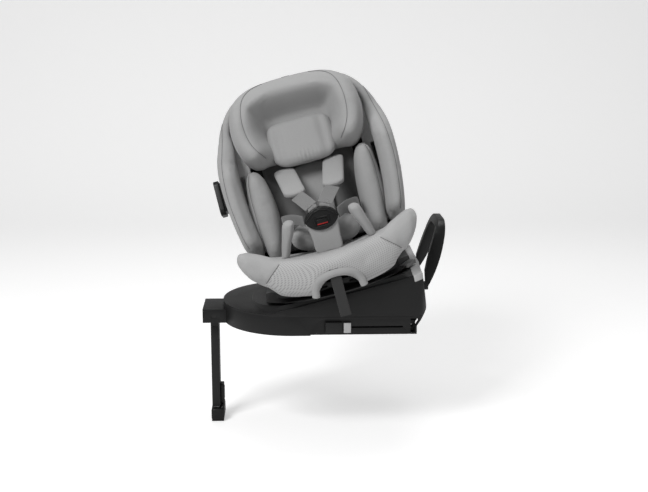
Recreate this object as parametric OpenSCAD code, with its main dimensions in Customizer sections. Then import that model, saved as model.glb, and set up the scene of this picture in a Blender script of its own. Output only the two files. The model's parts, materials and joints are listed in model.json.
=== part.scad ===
// Convertible car seat: rotating, reclining seat on an ISOFIX base with a support leg and a rebound bar.
// Frame: +Z up, +X towards the back of the vehicle seat, origin at the centre of the base's underside.
// Shown turned sideways, so that the child faces -Y. Lengths are in millimetres.

/* [Base] */
// Radius of the rounded nose, which is also half the width of the base
nose_r = 172; // [168:1:210]
// Place of the rear face
rear_x = 236; // [230:1:284]
// Wall of the moulded shells
wall = 4; // [3:0.5:5]
// Height of the lower tub
tub_h = 46; // [44:1:56]
// Height of the nose's top
nose_top = 50; // [49:0.5:52]

/* [Turntable] */
// Tilt of the turntable and the seat
tilt = 15; // [14:0.5:16]
// Radius of the turning disc
disc_r = 160; // [150:1:162]
// Radius of the centre post
post_r = 25; // [20:0.5:30]
// Gap round the disc, at its edge
disc_gap = 3; // [1:0.5:4]

/* [Support leg] */
// Thickness of the outer leg tube, front to back
leg_t = 20; // [17:0.5:22]
// Width of the outer leg tube
leg_w = 46; // [38:1:56]
// Wall of the leg tubes
leg_wall = 2; // [1.5:0.25:2.5]
// Radius of the leg's pivot pin
pin_r = 5; // [4:0.25:6]

/* [ISOFIX] */
// Distance between the two connectors
isofix_pitch = 280; // [276:1:284]
// Width of a connector arm
arm_w = 20; // [16:1:22]
// Height of a connector arm
arm_h = 22; // [18:1:24]

/* [Seat] */
// Half the outer width of the seat, across the side wings
half_w = 220; // [205:1:230]
// Length of the backrest shell, measured up the back
back_len = 448; // [400:2:520]
// Lean of the back away from the child
lean = 20; // [16:0.5:24]
// Radius of the recline runners
recline_r = 420; // [410:1:430]
// Radius of the headrest guide rods
rod_r = 5; // [4:0.25:6]

/* [Fits] */
// Radial clearance of a turning or sliding fit
run_gap = 0.05; // [0.02:0.01:0.1]
// Gap all round a loose slide
slide_gap = 0.3; // [0.2:0.1:0.5]

/* [Hidden] */
$fn = 96;

// Base
nose_x = -80;
corner_r = 40;
deck_u = 28;
floor_t = 3;
well_u = 14;
well_r = disc_r + disc_gap;
undercut_x = 211;
channel_half = 44;
channel_h = 38;
channel_end = nose_x + 275;
screw_x = [-120, 60, 180];
screw_y = 112;
cap_half = 118;

// Rebound bar, a hoop on two tongues that slide in the base
bar_y = 108;
bar_top = 252;
bar_width = 22;
tongue = [62, 20, 16];
tongue_z = 104;

// Support leg, whose pivot lies across the front bracket
pivot = [nose_x - nose_r - 22, 0, 16];
knuckle_r = leg_t / 2 + 2;
bracket_back = nose_x - nose_r + 12;
bracket_half = leg_w / 2 + 30;
bracket_size = [61, 2 * bracket_half, 34];
outer_top = -18;
outer_end = -226;
foot_top = -230;
foot_end = -257;
pad_t = 4;
inner_top = -40;
inner_t = leg_t - 2 * leg_wall - 2 * slide_gap;
inner_w = leg_w - 2 * leg_wall - 2 * slide_gap;
latch_x = pivot[0] + leg_t / 2;
latch_z = [-222, -172];

// ISOFIX connectors
arm_y = isofix_pitch / 2;
arm_z = 18;
jaw_w = arm_w + 4;
jaw_h = arm_h + 4;
jaw_x = [165, 208];
hook_pin_r = 2.5;
hook_t = 6;
hook_x = jaw_x[0] + 9;
recess_d = 8;
recess_y = nose_r - recess_d;
recess_h = 40;
stem_x = [20, 50];
stem_h = 3.6;
arm_travel = 125;
guide_x = [100, 145];
guide_t = 6;
slider_half = 13;

// Turntable frame, whose x runs across the seat, y towards its back and z up the turn axis
turn_at = [41, 0, 70];
disc_u = [well_u + 1, deck_u - 2];
ring_r = [disc_r - 40, disc_r - 10];
ring_u = well_u + 3;
skirt_half = 178;
button_turn = -36;

// Recline runners, which slide about a centre above the seat
arc_z = recline_r + 50;
pan_t = 6;
pan_half = 148;
pan_y = [-195, 139];
pan_wall_z = 103;
step_x = pan_half - pan_t - 0.4;
runner_x = 120;
runner_gap = 0.4;

// Back frame, whose z runs up the back and whose y = 0 is the front face of the back cover
back_at = [0, 80, 85];
shell_t = 5;
shell_y = [-2, 56];
shell_bottom = 20;
rod_x = 70;
rod_y = 40;
post_x = 45;
head_z = [228, 452];
wing_z = [20, 428];
torso_z = [17, 227];
sip_y = 22;
sip_z = 205;
sip_size = [92, 56];
sip_rest = 1.2;
sip_travel = 23.5;
sip_stem_half = [22, 38];

// Harness
buckle_at = [0, -104, 206];
buckle_half = [42, 27];
buckle_t = 22;
shoulder = [61, 116, 305];
chest = [46, 0, 259];
pad_half = [25, 7];
web_t = 2.4;
harness_w = 38;
strap_w = 25;
strap_front = -233.6;
strap_end = -4;
lever_arm_x = [16, 24];
lever_arm_z = [68, 74];

// ---- Helpers ----

// Point of a superellipse of half-sizes a and b: n = 2 is an ellipse, a larger n is squarer
function power(v, n) = sign(v) * pow(abs(v), n);
function super_point(a, b, n, t) = [a * power(cos(t), 2 / n), b * power(sin(t), 2 / n)];

// Solid through closed rings of equal length, with flat ends
module ring_solid(rings) {
    m = len(rings[0]);
    points = [for (r = rings) for (p = r) p];
    sides = [for (i = [0:len(rings) - 2]) for (j = [0:m - 1])
        [i * m + j, i * m + (j + 1) % m, (i + 1) * m + (j + 1) % m, (i + 1) * m + j]];
    ends = [[for (j = [m - 1:-1:0]) j], [for (j = [0:m - 1]) (len(rings) - 1) * m + j]];
    polyhedron(points, concat([for (f = sides) [f[3], f[2], f[1], f[0]]],
        [for (e = ends) [for (j = [m - 1:-1:0]) e[j]]]), convexity = 6);
}

// Rings across the third axis: each station is [x, y, z, half-size x, half-size y, squareness]
module loft(stations, count = 20) {
    ring_solid([for (s = stations) [for (j = [0:count - 1])
        let (p = super_point(s[3], s[4], s[5], j * 360 / count)) [s[0] + p[0], s[1] + p[1], s[2]]]]);
}

module rounded_rect(size, r) {
    x = size[0] / 2 - r;
    y = size[1] / 2 - r;
    square([2 * x, size[1]], center = true);
    square([size[0], 2 * y], center = true);
    for (i = [-1, 1], j = [-1, 1]) translate([i * x, j * y]) circle(r, $fn = 32);
}

module box(low, high) {
    translate(low) cube(high - low);
}

module turn_frame() {
    translate(turn_at) rotate([0, -tilt, 0]) children();
}

module back_frame() {
    turn_frame() translate(back_at) rotate([-lean, 0, 0]) children();
}

module both_sides() {
    for (s = [0, 1]) mirror([s, 0, 0]) children();
}

// The base's right side is drawn, and its left side is the mirror image
module base_side(side) {
    if (side == "right") children();
    else mirror([0, 1, 0]) children();
}

// ---- Base ----

module base_outline(inset = 0) {
    half = nose_r - inset;
    r = corner_r - inset;
    end = rear_x - inset;
    translate([nose_x, 0]) circle(half, $fn = 180);
    translate([nose_x, -half]) square([end - r - nose_x, 2 * half]);
    translate([nose_x, r - half]) square([end - nose_x, 2 * (half - r)]);
    for (s = [-1, 1]) translate([end - r, s * (half - r)]) circle(r);
}

// Everything behind the base's rear face, which is undercut below and leans in above
module behind_rear(inset = 0) {
    low = undercut_x - inset;
    top = rear_x - inset;
    rotate([90, 0, 0]) linear_extrude(2 * nose_r + 20, center = true)
        polygon([[low, -1], [low, 20], [top, 58], [top - 14, 150], [top - 22, 200],
            [top + 60, 200], [top + 60, -1]]);
}

module below_deck(u) {
    turn_frame() box([-400, -400, -400], [400, 400, u]);
}

module arm_tunnel(gap, from, to) {
    for (s = [-1, 1])
        box([from, s * arm_y - jaw_w / 2 - gap, arm_z - jaw_h / 2 - gap],
            [to, s * arm_y + jaw_w / 2 + gap, arm_z + jaw_h / 2 + gap]);
}

module side_recess() {
    for (s = [0, 1]) mirror([0, s, 0]) {
        translate([0, recess_y, 0]) rotate([-90, 0, 0]) cylinder(r = recess_h, h = recess_d + 1);
        box([0, recess_y, -1], [rear_x + 20, nose_r + 1, recess_h]);
        // slot that the connector's stem slides in
        box([stem_x[0] - 2, arm_y, arm_z - stem_h / 2 - 0.2],
            [stem_x[1] + arm_travel + 3, recess_y + 1, arm_z + stem_h / 2 + 0.2]);
    }
}

module base_tub() color("#2b2b2e") difference() {
    union() {
        difference() {
            linear_extrude(tub_h) base_outline();
            difference() {
                translate([0, 0, wall]) linear_extrude(tub_h) base_outline(wall);
                behind_rear(wall);
            }
        }
        box([bracket_back, -channel_half - wall, 0],
            [channel_end + wall, channel_half + wall, channel_h + wall]);
        for (s = [0, 1]) mirror([0, s, 0])
            box([-recess_h - wall, recess_y - wall, 0],
                [rear_x - corner_r, nose_r - wall, recess_h + wall]);
        // ribs that guide the connector arms
        for (x = guide_x, s = [-1, 1])
            box([x, s * arm_y - arm_w / 2 - guide_t, 1],
                [x + guide_t, s * arm_y + arm_w / 2 + guide_t, recess_h]);
    }
    box([pivot[0] - 40, -channel_half, -1], [channel_end, channel_half, channel_h]);
    box([pivot[0] - 40, -bracket_half, -1], [bracket_back, bracket_half, bracket_size[2]]);
    behind_rear();
    side_recess();
    arm_tunnel(0.5, jaw_x[1] - 12, rear_x + 10);
    for (s = [-1, 1])
        box([guide_x[0] - 1, s * arm_y - arm_w / 2 - slide_gap, arm_z - arm_h / 2 - slide_gap],
            [guide_x[1] + guide_t + 1, s * arm_y + arm_w / 2 + slide_gap, arm_z + arm_h / 2 + slide_gap]);
    turn_frame() translate([0, 0, well_u - floor_t]) cylinder(r = well_r + wall, h = 90);
}

module base_cover() color("#3a3a3e") difference() {
    intersection() {
        translate([0, 0, tub_h]) linear_extrude(140) base_outline();
        union() {
            box([-400, -300, 0], [100, 300, nose_top]);
            below_deck(deck_u);
            // low rim that rises round the turntable
            intersection() {
                turn_frame() rotate_extrude($fn = 180) polygon([[disc_r - 6, 0], [disc_r - 6, 35],
                    [disc_r + 14, 36], [disc_r + 58, 40], [disc_r + 96, 10]]);
                linear_extrude(200) base_outline(5);
            }
        }
    }
    difference() {
        intersection() {
            translate([0, 0, tub_h - 1]) linear_extrude(140) base_outline(wall);
            below_deck(deck_u - wall);
        }
        turn_frame() translate([0, 0, well_u - floor_t]) cylinder(r = well_r + wall, h = 90);
        behind_rear(wall);
    }
    turn_frame() translate([0, 0, well_u]) cylinder(r = well_r, h = 90);
    behind_rear();
    // sockets for the rebound bar
    for (s = [-1, 1])
        translate([rear_x - 20, s * bar_y, tongue_z])
            cube([60, tongue[1] + 2 * slide_gap, tongue[2] + 2 * slide_gap], center = true);
    // recess under the rear cap
    rear_cap_place(0);
}

// Light cover that caps the hump behind the turntable
module rear_cap_place(gap) {
    intersection() {
        difference() {
            turn_frame() box([well_r + 8, -cap_half + gap, deck_u - 2 + gap],
                [rear_x + 24, cap_half - gap, deck_u + 8]);
            behind_rear(gap);
        }
        linear_extrude(200) base_outline();
    }
}

module rear_cap() color("#c9c9cb") difference() {
    rear_cap_place(0);
    turn_frame() cylinder(r = well_r + 9, h = 60);
}

// Screws that hold the cover to the tub from below
module base_screws() color("silver") {
    for (x = screw_x, s = [-1, 1]) translate([x, s * screw_y, 1]) {
        cylinder(r = 4, h = 2.9);
        cylinder(r = 2, h = tub_h);
    }
}

module bearing_ring() color("gainsboro") turn_frame() translate([0, 0, well_u])
    difference() {
        cylinder(r = ring_r[1], h = ring_u - well_u, $fn = 180);
        translate([0, 0, -1]) cylinder(r = ring_r[0], h = 10, $fn = 180);
    }

module centre_post() color("silver") turn_frame() {
    translate([0, 0, well_u]) cylinder(r = post_r, h = disc_u[1] - well_u + 1);
    translate([0, 0, disc_u[1] + 0.5]) cylinder(r = post_r + 8, h = 3.5);
}

module leg_bracket() color("#4a4a4e") difference() {
    translate([bracket_back - bracket_size[0], -bracket_half, 0]) cube(bracket_size);
    box([pivot[0] - knuckle_r - 4, -leg_w / 2 - 3, -1],
        [bracket_back + 1, leg_w / 2 + 3, pivot[2] + knuckle_r + 3]);
    translate(pivot) rotate([90, 0, 0]) cylinder(r = pin_r, h = 2 * bracket_half + 2, center = true);
}

module leg_pivot_pin() color("silver") translate(pivot) rotate([90, 0, 0])
    cylinder(r = pin_r, h = 2 * bracket_half - 2, center = true);

// Arc of the circle through three points, from the first to the last
function det(a, b) = a[0] * b[1] - a[1] * b[0];
function circle_centre(a, b, c) = let (u = b - a, v = c - a, d = 2 * det(u, v))
    a + [v[1] * (u * u) - u[1] * (v * v), u[0] * (v * v) - v[0] * (u * u)] / d;
function arc_through(a, b, c, count = 10) = let (o = circle_centre(a, b, c), r = norm(a - o),
    t0 = atan2(a[1] - o[1], a[0] - o[0]), t1 = atan2(c[1] - o[1], c[0] - o[0]))
    [for (i = [0:count]) let (t = t0 + (t1 - t0) * i / count) o + r * [cos(t), sin(t)]];

// Front view of the hoop: straight legs that lean in to round top corners
function hoop_half(half_low, half_top, z_low, z_top, r) = concat(
    [[half_low, z_low]],
    [for (t = [0:15:90]) [half_top - r + r * cos(t), z_top - r + r * sin(t)]]);

module hoop_face(inset) {
    side = hoop_half(bar_y + 12 - inset, 78 - inset, 60, bar_top - inset * 0.8, 44 - inset * 0.6);
    polygon(concat(side, [for (i = [len(side) - 1:-1:0]) [-side[i][0], side[i][1]]]));
}

module rebound_bar() color("#232326") {
    intersection() {
        rotate([90, 0, 0]) linear_extrude(280, center = true) polygon(concat(
            arc_through([rear_x + 2, 93], [rear_x + 32, 152], [rear_x + 52, bar_top + 1]),
            [[rear_x + 38, bar_top + 1]],
            arc_through([rear_x + 31, 236], [rear_x + 14, 185], [rear_x + 1, 135])));
        rotate([90, 0, 90]) linear_extrude(400) difference() {
            hoop_face(0);
            hoop_face(bar_width);
        }
    }
    for (s = [-1, 1])
        translate([rear_x + 6 - tongue[0], s * bar_y - tongue[1] / 2, tongue_z - tongue[2] / 2])
            cube(tongue);
}

// ---- Support leg ----

module tube(t, w, top, end, wall_t) {
    difference() {
        translate([pivot[0] - t / 2, -w / 2, end]) cube([t, w, top - end]);
        translate([pivot[0] - t / 2 + wall_t, -w / 2 + wall_t, end - 1])
            cube([t - 2 * wall_t, w - 2 * wall_t, top - end + 2]);
    }
}

module leg_knuckle() color("#3a3a3e") difference() {
    union() {
        translate(pivot) rotate([90, 0, 0]) cylinder(r = knuckle_r, h = leg_w, center = true);
        box([pivot[0] - leg_t / 2, -leg_w / 2, outer_top], [pivot[0] + leg_t / 2, leg_w / 2, pivot[2]]);
        box([pivot[0] - leg_t / 2 + leg_wall, -leg_w / 2 + leg_wall, outer_top - 18],
            [pivot[0] + leg_t / 2 - leg_wall, leg_w / 2 - leg_wall, outer_top]);
    }
    translate(pivot) rotate([90, 0, 0]) cylinder(r = pin_r + run_gap, h = leg_w + 2, center = true);
}

module leg_outer_tube() color("#6a6a6e") tube(leg_t, leg_w, outer_top, outer_end, leg_wall);

module leg_latch_housing() color("#2b2b2e") difference() {
    box([latch_x, -14, latch_z[0]], [latch_x + 9, 14, latch_z[1]]);
    box([latch_x + 2, -10, latch_z[0] + 8], [latch_x + 10, 10, latch_z[1] - 8]);
}

module leg_latch_button() color("#8c8c90")
    box([latch_x + 5.5, -9.5, latch_z[0] + 8.5], [latch_x + 10.5, 9.5, latch_z[1] - 8.5]);

module leg_inner_tube() color("#9a9a9e") tube(inner_t, inner_w, inner_top, foot_top - 18, leg_wall);

module leg_foot() color("#3a3a3e") difference() {
    union() {
        box([pivot[0] - 12, -35, foot_end], [pivot[0] + 20, 35, foot_top]);
        box([pivot[0] + 12, -28, foot_top - 1], [pivot[0] + 20, 28, foot_top + 6]);
    }
    translate([pivot[0] - inner_t / 2, -inner_w / 2, foot_top - 18]) cube([inner_t, inner_w, 30]);
}

module leg_foot_pad() color("#1c1c1e")
    box([pivot[0] - 11, -34, foot_end - pad_t], [pivot[0] + 19, 34, foot_end]);

// ---- ISOFIX connectors ----

module isofix_arm(side) color("silver") base_side(side) {
    box([-60, arm_y - arm_w / 2, arm_z - arm_h / 2], [jaw_x[0], arm_y + arm_w / 2, arm_z + arm_h / 2]);
    // stem and slider, which carry the release button in the side recess
    box([stem_x[0], arm_y + arm_w / 2, arm_z - stem_h / 2],
        [stem_x[1], recess_y + 0.3, arm_z + stem_h / 2]);
    box([-5, recess_y + 0.3, arm_z - slider_half], [56, recess_y + 1.3, arm_z + slider_half]);
    box([-5, recess_y + 1.3, arm_z - slider_half], [35, nose_r - 0.5, arm_z + slider_half]);
}

module isofix_button(side) color("#d4d4d6") base_side(side)
    box([38, recess_y + 4.4, arm_z - 12], [55, nose_r - 0.4, arm_z + 12]);

module isofix_jaw(side) color("#5a5a5e") base_side(side) difference() {
    box([jaw_x[0], arm_y - jaw_w / 2, arm_z - jaw_h / 2], [jaw_x[1], arm_y + jaw_w / 2, arm_z + jaw_h / 2]);
    box([jaw_x[1] - 22, arm_y - jaw_w, arm_z - 3.5], [jaw_x[1] + 1, arm_y + jaw_w, arm_z + 3.5]);
    box([jaw_x[0] + 2, arm_y - hook_t / 2 - slide_gap, 0],
        [jaw_x[1] + 1, arm_y + hook_t / 2 + slide_gap, 60]);
    translate([hook_x, arm_y, arm_z + 6]) rotate([90, 0, 0])
        cylinder(r = hook_pin_r + run_gap, h = jaw_w + 2, center = true);
}

module isofix_hook(side) color("silver") base_side(side) {
    translate([hook_x, arm_y, arm_z + 6]) rotate([90, 0, 0]) {
        cylinder(r = hook_pin_r, h = jaw_w - 1, center = true);
        linear_extrude(hook_t, center = true) {
            circle(5);
            polygon([[0, -2], [21, -2], [21, -9], [27, -6], [27, 3], [0, 5]]);
        }
    }
}

// ---- Turntable ----

module turn_disc() color("#7c7c80") turn_frame() difference() {
    translate([0, 0, disc_u[0]]) cylinder(r = disc_r, h = disc_u[1] - disc_u[0], $fn = 180);
    translate([0, 0, disc_u[0] - 1]) cylinder(r = post_r + run_gap, h = 30);
    translate([0, 0, disc_u[0] - 1]) difference() {
        cylinder(r = ring_r[1] + 1, h = ring_u - disc_u[0] + 1.1, $fn = 180);
        cylinder(r = ring_r[0] - 1, h = 10, $fn = 180);
    }
}

// Solid cylinder about the recline centre, lying across the seat
module arc_drum(r, half) {
    translate([0, 0, arc_z]) rotate([0, 90, 0]) cylinder(r = r, h = 2 * half, center = true, $fn = 360);
}

// Skirt that the cradle spreads to under the seat's edges
module cradle_skirt() {
    rotate_extrude($fn = 180) polygon([[0, 41], [disc_r + 4, 41], [disc_r + 54, 44], [disc_r + 58, 48],
        [disc_r + 43, 50.4], [disc_r + 28, 60], [0, 60]]);
}

module cradle() color("#2b2b2e") turn_frame() difference() {
    union() {
        translate([0, 0, disc_u[1]]) cylinder(r = disc_r - 2, h = 20, $fn = 180);
        intersection() {
            cradle_skirt();
            box([-skirt_half, -300, 0], [skirt_half, 300, 100]);
        }
        intersection() {
            translate([0, 0, 44]) cylinder(r = disc_r + 40, h = 90, $fn = 180);
            box([-pan_half, -190, 40], [pan_half, 170, 130]);
        }
    }
    arc_drum(recline_r + runner_gap, 210);
    translate([0, 0, disc_u[1] - 1]) cylinder(r = post_r + 10, h = 7);
    both_sides() runner_shape(runner_gap, 190);
    // hand space under the front of the seat
    box([-pan_half - 1, -240, 62], [pan_half + 1, -146, 130]);
    rotate([0, 0, button_turn]) box([disc_r + 30, -21, 43.6], [disc_r + 80, 21, 53.4]);
}

// T-section runner, set on the outside of the recline arc
module runner_shape(gap, reach) {
    intersection() {
        translate([0, 0, arc_z]) rotate([0, 90, 0]) {
            translate([0, 0, runner_x - 5 - gap])
                cylinder(r = recline_r + 8 + gap, h = 10 + 2 * gap, $fn = 360);
            translate([0, 0, runner_x - 11 - gap]) difference() {
                cylinder(r = recline_r + 12 + gap, h = 22 + 2 * gap, $fn = 360);
                translate([0, 0, -1]) cylinder(r = recline_r + 8 - gap, h = 30, $fn = 360);
            }
        }
        box([0, -reach, 0], [200, reach, 150]);
    }
}

module recline_runners() color("silver") turn_frame() both_sides() difference() {
    runner_shape(0, 110);
    arc_drum(recline_r, 210);
}

module rotation_button() color("#6a6a6e") turn_frame() rotate([0, 0, button_turn])
    box([disc_r + 38, -20.5, 44], [disc_r + 60, 20.5, 53]);

// ---- Seat shells ----

// Feet of the back shell on the pan, leaned with the back
module pan_feet(top) {
    both_sides() translate(back_at) rotate([-lean, 0, 0]) box([60, 18, -40], [84, 52, top]);
}

// Block under the pan's front that guides the recline lever's arms
module lever_guide() {
    difference() {
        intersection() {
            box([-42, -190, 64], [42, -160, 120]);
            difference() {
                arc_drum(recline_r + 60, 100);
                arc_drum(recline_r, 105);
            }
        }
        both_sides() box([lever_arm_x[0] - slide_gap, -200, lever_arm_z[0] - slide_gap],
            [lever_arm_x[1] + slide_gap, -140, lever_arm_z[1] + slide_gap]);
    }
}

module seat_pan() color("#2b2b2e") turn_frame() {
    lever_guide();
    difference() {
        intersection() {
            arc_drum(recline_r, 200);
            union() {
                box([-pan_half, pan_y[0], 40], [pan_half, pan_y[1], pan_wall_z]);
                pan_feet(shell_bottom);
            }
        }
        intersection() {
            arc_drum(recline_r - pan_t, pan_half - pan_t);
            box([-pan_half, -300, 0], [pan_half, 85, 300]);
        }
        difference() {
            arc_drum(recline_r - pan_t, pan_half - pan_t);
            box([-pan_half, -300, 0], [pan_half, 84, 300]);
            pan_feet(40);
        }
        // room for the back shell and its cover
        translate(back_at) rotate([-lean, 0, 0])
            box([-200, shell_y[0] - 3, shell_bottom], [200, 120, 200]);
    }
}

// Half-width of the side wings at height z up the back
function wing_half(z) = z > 215 ? half_w - 53 * pow((z - 215) / (back_len - 258), 3)
    : half_w - 20 * pow((215 - z) / 175, 2);

module back_outline(inset, low, high) {
    edge = [for (i = [0:16]) let (z = low + (high - low) * i / 16) [wing_half(z) - inset, z]];
    polygon(concat(edge, [for (i = [16:-1:0]) [-edge[i][0], edge[i][1]]]));
}

// A slab of the back, between two depths
module back_slab(inset, low, high, y0, y1) {
    translate([0, y1, 0]) rotate([90, 0, 0]) linear_extrude(y1 - y0) back_outline(inset, low, high);
}

// Stem that the side-impact pad slides on, and with a gap the hole for it
module sip_stem(gap) {
    box([168, sip_y - sip_stem_half[0] - gap, sip_z - sip_stem_half[1] - gap],
        [half_w + 30, sip_y + sip_stem_half[0] + gap, sip_z + sip_stem_half[1] + gap]);
}

module back_shell() color("#2b2b2e") back_frame() difference() {
    back_slab(6, shell_bottom, back_len, shell_y[0], shell_y[1]);
    back_slab(6 + shell_t, shell_bottom + shell_t, back_len - shell_t,
        shell_y[0] - 1, shell_y[1] - shell_t);
    // way through the top edge for the headrest
    box([-95, shell_y[0] - 1, back_len - 20], [95, shell_y[1] - shell_t, back_len + 1]);
    both_sides() sip_stem(slide_gap);
}

module side_foam() color("#e0e0e0") back_frame() both_sides() difference() {
    intersection() {
        back_slab(12, 44, 380, 4, 48);
        box([150, 0, 0], [300, 60, 400]);
    }
    sip_stem(1);
}

module guide_rods() color("silver") back_frame() {
    both_sides() translate([rod_x, rod_y, 236]) cylinder(r = rod_r, h = back_len - 244);
    // cross plates that hold the rods to the back shell
    for (z = [230, back_len - 8]) difference() {
        box([-rod_x - 12, rod_y - 8, z], [rod_x + 12, shell_y[1] - shell_t, z + 6]);
        if (z > 300) box([-rod_x - 20, 0, z - 1], [rod_x + 20, rod_y + 9, z + 10]);
    }
}

// ---- Soft parts ----

// Height of the cushion's top at its front crest, across the seat
function crest(x) = abs(x) < 120 ? 133 + 12 * pow(x / 120, 2) : 145 + 0.53 * (abs(x) - 120);

// Lower edge of the cushion's front, with an arch in the middle
function hem(x) = let (a = abs(x)) a < 50 ? 87 - 35 * pow(a / 50, 3)
    : a < 135 ? 52 + 14 * pow((a - 50) / 85, 2)
    : a < 173 ? 66 + (a - 135) * 0.87
    : 99 + (a - 173) * 2.1;

function front_y(x) = -223 + 20 * pow(x / 130, 2) * (abs(x) < 160 ? 1 : 160 * 160 / (x * x));
function floor_z(y) = arc_z - sqrt(pow(recline_r - pan_t - 1, 2) - y * y);

// Underside of the cushion, which steps over the pan's side walls
function under_z(x, y) = abs(x) > step_x ? pan_wall_z + 1 : floor_z(y);

// Height of the valley between the cushion and the raised side
function valley_z(x) = 145 - 0.93 * (abs(x) - 120);

// Side view of the cushion at one place across the seat
function cushion_ring(x) = let (
        top = abs(x) < 120 ? crest(x) : valley_z(x),
        low = hem(x),
        half = (top - low) / 2,
        back_top = top - 38)
    concat(
        [for (t = [90:22.5:270]) let (p = super_point(26, half, 2.6, t))
            [x, front_y(x) + 26 + p[0], low + half + p[1]]],
        [[x, -198, low + 1], [x, -197, max(under_z(x, -196), low + 2)]],
        [for (y = [-180:40:60]) [x, y, under_z(x, y)]],
        [[x, 66, under_z(x, 66)], [x, 66, max(back_top - 6, pan_wall_z + 2)],
            [x, 60, max(back_top, pan_wall_z + 3)]],
        [for (y = [20:-45:-160]) [x, y, top - 0.15 * (y + 190) + 2 * sin((y + 190) * 0.8)]]);

module seat_cushion() color("#b9b9bb") turn_frame() {
    half = [18, 36, 50, 70, 95, 120, 132, step_x - 0.1, step_x + 0.1, 149];
    ring_solid([for (x = concat([for (i = [9:-1:0]) -half[i]], [0], half)) cushion_ring(x)]);
}

// Raised side of the seat, beside the thigh, whose tip stands proud at the front
function bolster_ring(x) = let (
        top = crest(x) - 30 * pow(max(0, x - 196) / 12, 2),
        low = max(hem(x), x < 150 ? valley_z(x) + 1.5 : 0),
        half = max(1.5, (top - low) / 2),
        front = front_y(x) + 2,
        depth = (-62 - front) / 2)
    [for (t = [90:18:432]) let (p = super_point(depth, half, 3.4, t))
        [x, front + depth + p[0], (top + low) / 2 + p[1]]];

module bolster() {
    ring_solid([for (x = [126, 132, 140, 149.5, 158, 168, 178, 188, 196, 202, 207]) bolster_ring(x)]);
}

module bolster_left() color("#c0c0c2") turn_frame() bolster();
module bolster_right() color("#c0c0c2") turn_frame() mirror([1, 0, 0]) bolster();

module back_cover() color("#6e6e72") back_frame() difference() {
    box([-122, 0, 26], [122, 26, 430]);
    both_sides() box([post_x - 6.5, -1, 280], [post_x + 6.5, 30, 431]);
}

function ease(t) = (1 - cos(180 * min(1, max(0, t)))) / 2;
function wing_front(z) = -48 - 102 * ease((345 - z) / 130) + 34 * pow(max(0, 60 - z) / 42, 2);
function wing_thick(z) = 42 - 14 * ease((z - 270) / 110);

// How far a soft part has rounded off, from 0 to 1, over the last length r before its two ends
function rounding(z, ends, r) = pow(max(0, ends[0] + r - z, z - ends[1] + r) / r, 2);

// Section of a side wing at height z
function wing_station(z) = let (
        end = rounding(z, wing_z, 24),
        front = wing_front(z) + 6 * end)
    [wing_half(z) - wing_thick(z) / 2, (front - 12) / 2, z,
        wing_thick(z) / 2 - 11 * end, (-12 - front) / 2, 2.6];

module wing() {
    loft([for (z = [20, 24, 34, 50, 80, 115, 150, 185, 220, 250, 275, 300, 322, 345, 370, 395, 412, 422, 428])
        wing_station(z)]);
}

module wing_left() color("#b4b4b6") back_frame() wing();
module wing_right() color("#b4b4b6") back_frame() mirror([1, 0, 0]) wing();

// Section of the pad beside the child's body at height z; it stays inside the wing
function torso_station(z) = let (
        inner = 104 + 10 * pow((z - 95) / 75, 2) * (z < 95 ? 1 : 0.6),
        outer = min(166 - 7 * pow(max(0, z - 120) / 100, 2), wing_half(z) - wing_thick(z) - 1.5),
        end = rounding(z, torso_z, 22),
        front = -115 + 26 * end)
    [(inner + outer) / 2, (front - 14) / 2, z,
        (outer - inner) / 2 * (1 - 0.45 * end), (-14 - front) / 2, 2.4];

module torso_pad() {
    loft([for (z = concat(torso_z[0], [22, 34, 60, 95, 130, 165, 195, 210, 221], torso_z[1]))
        torso_station(z)]);
}

module torso_pad_left() color("#bcbcbe") back_frame() torso_pad();
module torso_pad_right() color("#bcbcbe") back_frame() mirror([1, 0, 0]) torso_pad();

module insert_back() color("#b0b0b2") back_frame() translate([0, -1, 0]) rotate([90, 0, 0])
    linear_extrude(23) polygon([[-38, 222], [38, 222], [24, 120], [22, 44], [-22, 44], [-24, 120]]);

module insert_seat() color("#a8a8aa") turn_frame()
    loft([[0, -10, 123, 70, 38, 3], [0, -12, 128, 80, 46, 3], [0, -12, 145, 84, 48, 3],
        [0, -8, 165, 78, 44, 3], [0, -4, 182, 64, 34, 3], [0, -2, 190, 50, 22, 3]]);

module hip_flaps() color("#b6b6b8") turn_frame() both_sides()
    loft([for (i = [0:5]) let (end = i == 0 || i == 5 ? 3 : 0)
        [105 - 5 * i, -96, 138 + 15 * i, 12 - end, 23 - end, 2.6]]);

// Outline of the buckle: two arcs that meet in points at its sides
module lens(grow) {
    r = (pow(buckle_half[0], 2) + pow(buckle_half[1], 2)) / (2 * buckle_half[1]);
    intersection_for (s = [-1, 1])
        translate([buckle_at[0], buckle_at[2] + s * (r - buckle_half[1])]) circle(r + grow, $fn = 180);
}

// A flat outline in the seat's x-z plane, between two depths
module facing(y0, y1) {
    translate([0, y1, 0]) rotate([90, 0, 0]) linear_extrude(y1 - y0) children();
}

module crotch_pad() color("#b4b4b6") turn_frame() difference() {
    facing(-112, -96) difference() {
        polygon([[-31, 124], [31, 124], [37, 204], [-37, 204]]);
        lens(0.6);
    }
    box([-harness_w / 2 - 0.4, buckle_at[1] - web_t / 2 - 0.3, 100],
        [harness_w / 2 + 0.4, buckle_at[1] + web_t / 2 + 0.3, 230]);
}

module crotch_strap() color("#77777c") turn_frame()
    box([-harness_w / 2, buckle_at[1] - web_t / 2, 122.5],
        [harness_w / 2, buckle_at[1] + web_t / 2, buckle_at[2] - buckle_half[1] - 0.2]);

module buckle_body() color("#1c1c1e") turn_frame() difference() {
    facing(buckle_at[1] - buckle_t / 2, buckle_at[1] + buckle_t / 2) lens(0);
    box([-13.4, buckle_at[1] - buckle_t, 192.6], [13.4, buckle_at[1] - buckle_t / 2 + 6, 206.4]);
}

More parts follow.
